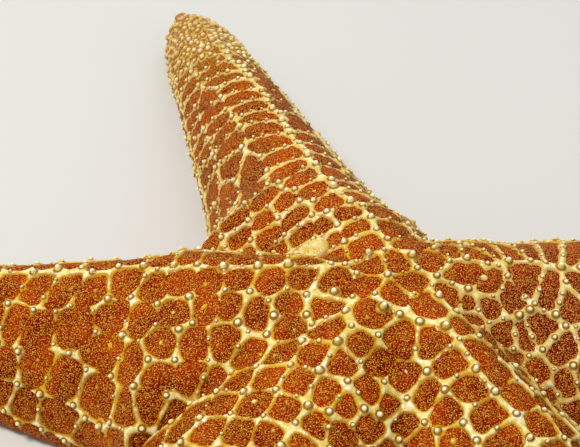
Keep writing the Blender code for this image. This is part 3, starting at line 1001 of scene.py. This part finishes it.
def jawPlaces():
    low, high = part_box("mouth")
    middle = np.array([(low[0] + high[0]) / 2, (low[1] + high[1]) / 2, 0])
    wide = (high[0] - low[0]) / 2
    places = []
    for arm in range(5):
        turn = radians(body["firstArm"] + 72 * arm + 36)
        out = np.array([cos(turn), sin(turn), 0])
        aside = np.array([-sin(turn), cos(turn), 0])
        root = middle + out * (wide * jaws["out"]) + (0, 0, jaws["level"])
        places.append((root, -out, jaws["radius"], wide * jaws["length"], jawOutline))
        for k in (-1.5, -0.5, 0.5, 1.5):
            root = middle + out * (wide * jaws["toothOut"]) + aside * k * jaws["toothApart"]
            inward = -out * 0.6 + aside * k * 0.12 - (0, 0, 0.45)
            places.append((root + (0, 0, jaws["toothLevel"]), inward, jaws["toothRadius"],
                           jaws["toothLength"], pegOutline))
    return places


def endPlatePlaces():
    places = []
    length = body["armLength"]
    for arm in range(5):
        spot = onTop(arm, length - tipPlates["back"], 0.0)
        outward = onTop(arm, length, 0.0) - onTop(arm, length - 0.004, 0.0)
        outward[2] = tipPlates["rise"] * np.linalg.norm(outward[:2])
        places.append((spot, outward, tipPlates["radius"], tipPlates["height"], plateOutline))
    return places


print("underside")
feetPiece = turnedMesh("tube_feet", footPlaces(), 8)
pegPiece = turnedMesh("groove_spines", pegPlaces(), 7)
jawPiece = turnedMesh("jaws", jawPlaces(), 12)
endPlates = turnedMesh("arm_end_plates", endPlatePlaces(), 20)

# shaders

def rgb(r, g, b):
    def linear(c):
        c /= 255
        return c / 12.92 if c <= 0.04045 else ((c + 0.055) / 1.055) ** 2.4
    return (linear(r), linear(g), linear(b), 1.0)


class Value:
    def __init__(self, shader, socket):
        self.shader, self.socket = shader, socket

    def math(self, operation, *others):
        inputs = dict(enumerate((self, *others)))
        return self.shader.node("ShaderNodeMath", {"operation": operation}, inputs)

    def other(self, name):
        return Value(self.shader, self.socket.node.outputs[name])

    def __add__(self, o):
        return self.math("ADD", o)

    def __radd__(self, o):
        return self.math("ADD", o)

    def __sub__(self, o):
        return self.math("SUBTRACT", o)

    def __rsub__(self, o):
        return self.shader.node("ShaderNodeMath", {"operation": "SUBTRACT"}, {0: o, 1: self})

    def __mul__(self, o):
        return self.math("MULTIPLY", o)

    def __rmul__(self, o):
        return self.math("MULTIPLY", o)

    def smooth(self, low, high, start=0.0, end=1.0):
        return self.shader.node("ShaderNodeMapRange", {"interpolation_type": "SMOOTHSTEP"},
                                {0: self, 1: low, 2: high, 3: start, 4: end})


class Shader:
    def __init__(self, name):
        self.material = bpy.data.materials.new(name)
        self.material.use_nodes = True
        self.tree = self.material.node_tree
        self.main = self.tree.nodes["Principled BSDF"]

    def node(self, kind, settings=None, inputs=None, output=0):
        made = self.tree.nodes.new(kind)
        for key, value in (settings or {}).items():
            setattr(made, key, value)
        for key, value in (inputs or {}).items():
            self.put(made.inputs[key], value)
        return Value(self, made.outputs[output])

    def put(self, socket, value):
        if isinstance(value, Value):
            self.tree.links.new(value.socket, socket)
        else:
            socket.default_value = value

    def attribute(self, name):
        return self.node("ShaderNodeAttribute", {"attribute_name": name}, output="Fac")

    def mix(self, factor, a, b):
        return self.node("ShaderNodeMix", {"data_type": "RGBA"}, {0: factor, 6: a, 7: b}, 2)

    def between(self, factor, colours):
        return self.mix(factor, *(rgb(*colour) for colour in colours))

    def place(self):
        return self.node("ShaderNodeTexCoord", output="Object")

    def noise(self, place, scale, detail=2.0, rough=0.5):
        inputs = {"Vector": place, "Scale": scale, "Detail": detail, "Roughness": rough}
        return self.node("ShaderNodeTexNoise", {}, inputs)

    def set(self, **values):
        for key, value in values.items():
            self.put(self.main.inputs[key.replace("_", " ")], value)

    def bump(self, height, distance):
        return self.node("ShaderNodeBump", {}, {"Height": height, "Distance": distance, "Strength": 1.0})


# colours in pairs go from the first to the second
skinLook = {
    "cell": ((112, 4, 0), (160, 40, 0)),
    "granule": ((220, 124, 0), (250, 206, 78)),
    # painted shade for the cells along the right arm and in the crease
    "paintedShadeCell": (106, 14, 6),
    "paintedShadeGranule": (226, 156, 84),
    # painted highlight: white wet-look patches on the ridge crests
    "cream": ((220, 192, 88), (242, 230, 164)),
    "paintedHighlight": (248, 244, 224),
    "gold": ((182, 124, 0), (214, 168, 10)),
    "fadedGold": (228, 200, 124),
    # the ring round each tubercle: partly the collar's own darker colour, partly painted shade at its base
    "ring": (150, 100, 4),
    "tip": ((146, 82, 4), (222, 172, 66)),
    "under": ((198, 150, 84), (232, 204, 150)),
    "granuleScale": 3200,
    "granuleEdge": (0.51, 0.36),
    "warp": (0.0003, 0.0003, 0.0003),
    "beadHeight": 0.00016,
    "grainHeight": 0.00007,
}


def skinShader():
    s = Shader("skin")
    place = s.place()
    ridge, tip, underSide, halo = map(s.attribute, ("ridge", "tip", "under", "halo"))
    paintedShade, faded = s.attribute("paintedShade"), s.attribute("faded")
    blotch = s.noise(place, 120, 3)
    # granules of the cells: golden worm-like specks on dark red
    warp = s.node("ShaderNodeVectorMath", {"operation": "MULTIPLY_ADD"},
                  {0: s.noise(place, 1500, 2).other("Color"), 1: skinLook["warp"], 2: place})
    speck = s.node("ShaderNodeTexVoronoi", {"feature": "F1"},
                   {"Vector": warp, "Scale": skinLook["granuleScale"]}, "Distance")
    pickOne = s.node("ShaderNodeSeparateColor", {}, {0: speck.other("Color")})
    specks = speck.smooth(*skinLook["granuleEdge"])
    ground = s.between(blotch.smooth(0.35, 0.7), skinLook["cell"])
    # painted shade along the right arm and in the crease: darker, redder ground and granules
    ground = s.mix(paintedShade * 0.7, ground, rgb(*skinLook["paintedShadeCell"]))
    granule = s.between(pickOne.smooth(0.2, 1.0), skinLook["granule"])
    granule = s.mix(paintedShade * 0.4, granule, rgb(*skinLook["paintedShadeGranule"]))
    cells = s.mix(specks * 0.9, ground, granule)
    # ridges: mottled cream crests with white patches of painted highlight, over golden sides, with a darker
    # ring round each tubercle, partly the collar's own colour and partly painted shade
    ragged = ridge + (s.noise(place, 1100, 2) - 0.5) * 0.5
    cream = s.between(s.noise(place, 650, 4, 0.6).smooth(0.38, 0.62), skinLook["cream"])
    paintedHighlight = s.noise(place, 330, 5, 0.65).smooth(0.56, 0.64) * ragged.smooth(-0.15, -0.5)
    cream = s.mix(paintedHighlight * 0.8, cream, rgb(*skinLook["paintedHighlight"]))
    gold = s.between(blotch.smooth(0.4, 0.7), skinLook["gold"])
    gold = s.mix(faded * 0.7, gold, rgb(*skinLook["fadedGold"]))
    ridges = s.mix(ragged.smooth(-0.66, -0.12), cream, gold)
    # a darker ring round each tubercle: partly the collar's own colour, partly painted shade at its base
    ring = halo.smooth(0.9, 1.1) * halo.smooth(2.2, 1.6)
    ridges = s.mix(ring, ridges, rgb(*skinLook["ring"]))
    mask = ragged.smooth(0.1, -0.06)
    colour = s.mix(mask, cells, ridges)
    # the arm tips are paler gold
    colour = s.mix(tip * (1 - mask * 0.6), colour, s.between(specks, skinLook["tip"]))
    colour = s.mix(underSide.smooth(0.55, 1.0), colour, s.between(specks, skinLook["under"]))
    beads = speck.smooth(0.6, 0.1) * (1 - mask * 0.9)
    grain = beads * skinLook["beadHeight"] + s.noise(place, 900, 2) * skinLook["grainHeight"]
    s.set(Base_Color=colour, Roughness=mask.smooth(0, 1, 0.5, 0.3), Normal=s.bump(grain, 1.0))
    s.set(Coat_Weight=mask * s.noise(place, 500, 3).smooth(0.4, 0.65, 0.1, 0.7), Coat_Roughness=0.18)
    s.set(Subsurface_Weight=0.06, Subsurface_Scale=0.001, Subsurface_Radius=(1.0, 0.45, 0.2))
    s.set(Specular_IOR_Level=0.04)
    return s.material


knobLook = {
    "pearl": ((232, 202, 112), (250, 236, 176)),
    "foot": (208, 164, 56),
    # the white top: partly the tubercles' pale caps, partly a painted highlight
    "top": (255, 252, 236),
    "honey": ((150, 84, 4), (240, 202, 104)),       # at the arm tips
    "honeyFrom": (0.108, 0.142),                    # distance from the middle
}


def knobShader():
    s = Shader("spine")
    rise, pick = s.attribute("rise"), s.attribute("pick")
    pearl = s.between(pick.smooth(0.1, 0.9), knobLook["pearl"])
    colour = s.mix(rise.smooth(0.0, 0.22), rgb(*knobLook["foot"]), pearl)
    # white tops: partly pale caps, partly a painted highlight
    colour = s.mix(rise.smooth(0.6, 0.95), colour, rgb(*knobLook["top"]))
    outward = s.node("ShaderNodeVectorMath", {"operation": "LENGTH"}, {0: s.place()}, "Value")
    honey = s.between(rise * 0.6 + pick * 0.4, knobLook["honey"])
    colour = s.mix(outward.smooth(*knobLook["honeyFrom"]) * 0.8, colour, honey)
    s.set(Base_Color=colour, Roughness=0.4, Specular_IOR_Level=0.06)
    s.set(Subsurface_Weight=0.15, Subsurface_Scale=0.001, Subsurface_Radius=(1.0, 0.7, 0.4))
    s.set(Coat_Weight=0.14, Coat_Roughness=0.12)
    return s.material


plateLook = {"face": ((220, 192, 92), (240, 226, 160)), "groove": (168, 118, 20), "edge": (186, 136, 20)}


def plateShader():
    s = Shader("sieve_plate")
    groove, edge = s.attribute("groove"), s.attribute("edge")
    face = s.between(s.noise(s.place(), 500, 3).smooth(0.35, 0.7), plateLook["face"])
    colour = s.mix(groove * 0.45, face, rgb(*plateLook["groove"]))
    colour = s.mix(edge.smooth(0.86, 1.0) * 0.6, colour, rgb(*plateLook["edge"]))
    s.set(Base_Color=colour, Roughness=0.4, Specular_IOR_Level=0.1)
    s.set(Coat_Weight=0.3, Coat_Roughness=0.2)
    return s.material


# colours and roughness of the paler small parts, and what some of each tend to
paleLook = {
    "tube_foot": (((196, 150, 84), (242, 222, 176)), 0.35),
    "mouth": (((190, 142, 74), (240, 218, 164)), 0.45),
    "arm_tip": (((150, 84, 8), (208, 150, 56)), 0.45),
}
pickedTan = (196, 140, 70)


def paleShader(name):
    colours, roughness = paleLook[name]
    s = Shader(name)
    rise, pick = s.attribute("rise"), s.attribute("pick")
    mottle = s.noise(s.place(), 1100, 2).smooth(0.35, 0.7)
    colour = s.between(rise * 0.7 + mottle * 0.3, colours)
    colour = s.mix(pick * 0.25, colour, rgb(*pickedTan))
    s.set(Base_Color=colour, Roughness=roughness, Normal=s.bump(mottle, 0.00008))
    s.set(Subsurface_Weight=0.2, Subsurface_Scale=0.001)
    return s.material


print("shaders")
materials = {"skin": skinShader(), "spine": knobShader(), "sieve_plate": plateShader()}
materials.update({name: paleShader(name) for name in paleLook})
flesh = ["disc"] + [f"arm_{name}_{part}" for name, _, _ in arms for part in ("inner", "outer", "tip")]
for piece, slot in ((skin, "skin"), (plate, "sieve_plate"), (jawPiece, "mouth"), (pegPiece, "mouth"),
                    (feetPiece, "tube_foot"), (endPlates, "arm_tip"),
                    *((piece, "spine") for piece in knobPieces)):
    piece.data.materials.append(materials[slot])
    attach(piece, "root")
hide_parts(*flesh)
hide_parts("sieve_plate")
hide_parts("mouth")

# floor, light and camera

studio = {
    "floorHalf": 3,
    "floorLevel": -0.0003,
    "floorColour": (214, 214, 210),
    # place, size, power and colour
    "lamps": {"key": ((-0.5, -0.05, 1.0), 0.28, 10.0, (1.0, 0.97, 0.92)),
              "fill": ((0.9, -0.7, 0.7), 0.9, 1.6, (0.95, 0.97, 1.0)),
              "rim": ((0.3, 1.0, 0.7), 0.6, 2.6, (1.0, 0.98, 0.95))},
    "sky": (0.93, 0.96, 1.0, 1),
    "skyStrength": 0.36,
}
view = {"elevation": 41.5, "distance": 0.452, "aside": -0.0201, "above": 0.0104, "angle": 15.02}

half, level = studio["floorHalf"], studio["floorLevel"]
floorMesh = bpy.data.meshes.new("floor")
floorMesh.from_pydata([(x * half, y * half, level) for x, y in ((-1, -1), (1, -1), (1, 1), (-1, 1))],
                      [], [(0, 1, 2, 3)])
floor = bpy.data.objects.new("floor", floorMesh)
scene.collection.objects.link(floor)
paper = Shader("paper")
paper.set(Base_Color=rgb(*studio["floorColour"]), Roughness=0.9)
floorMesh.materials.append(paper.material)

for name, (place, size, power, colour) in studio["lamps"].items():
    data = bpy.data.lights.new(name, "AREA")
    data.size, data.energy, data.color = size, power, colour
    lamp = bpy.data.objects.new(name, data)
    lamp.location = place
    lamp.rotation_euler = (-lamp.location).to_track_quat("-Z", "Y").to_euler()
    scene.collection.objects.link(lamp)
world = bpy.data.worlds.new("world")
scene.world = world
world.use_nodes = True
sky = world.node_tree.nodes["Background"].inputs
sky["Color"].default_value = studio["sky"]
sky["Strength"].default_value = studio["skyStrength"]

tilt = radians(view["elevation"])
forward = np.array([0, cos(tilt), -sin(tilt)])
upward = np.array([0, sin(tilt), cos(tilt)])
centre = np.array([0, 0, body["discHeight"] - body["discSag"]])
lens = bpy.data.cameras.new("camera")
lens.sensor_width = 36
lens.angle = radians(view["angle"])
lens.clip_start = 0.01
camera = bpy.data.objects.new("camera", lens)
camera.location = centre - view["distance"] * forward + view["above"] * upward + (view["aside"], 0, 0)
camera.rotation_euler = (pi / 2 - tilt, 0, 0)
scene.collection.objects.link(camera)
scene.camera = camera

scene.view_settings.view_transform = "Standard"
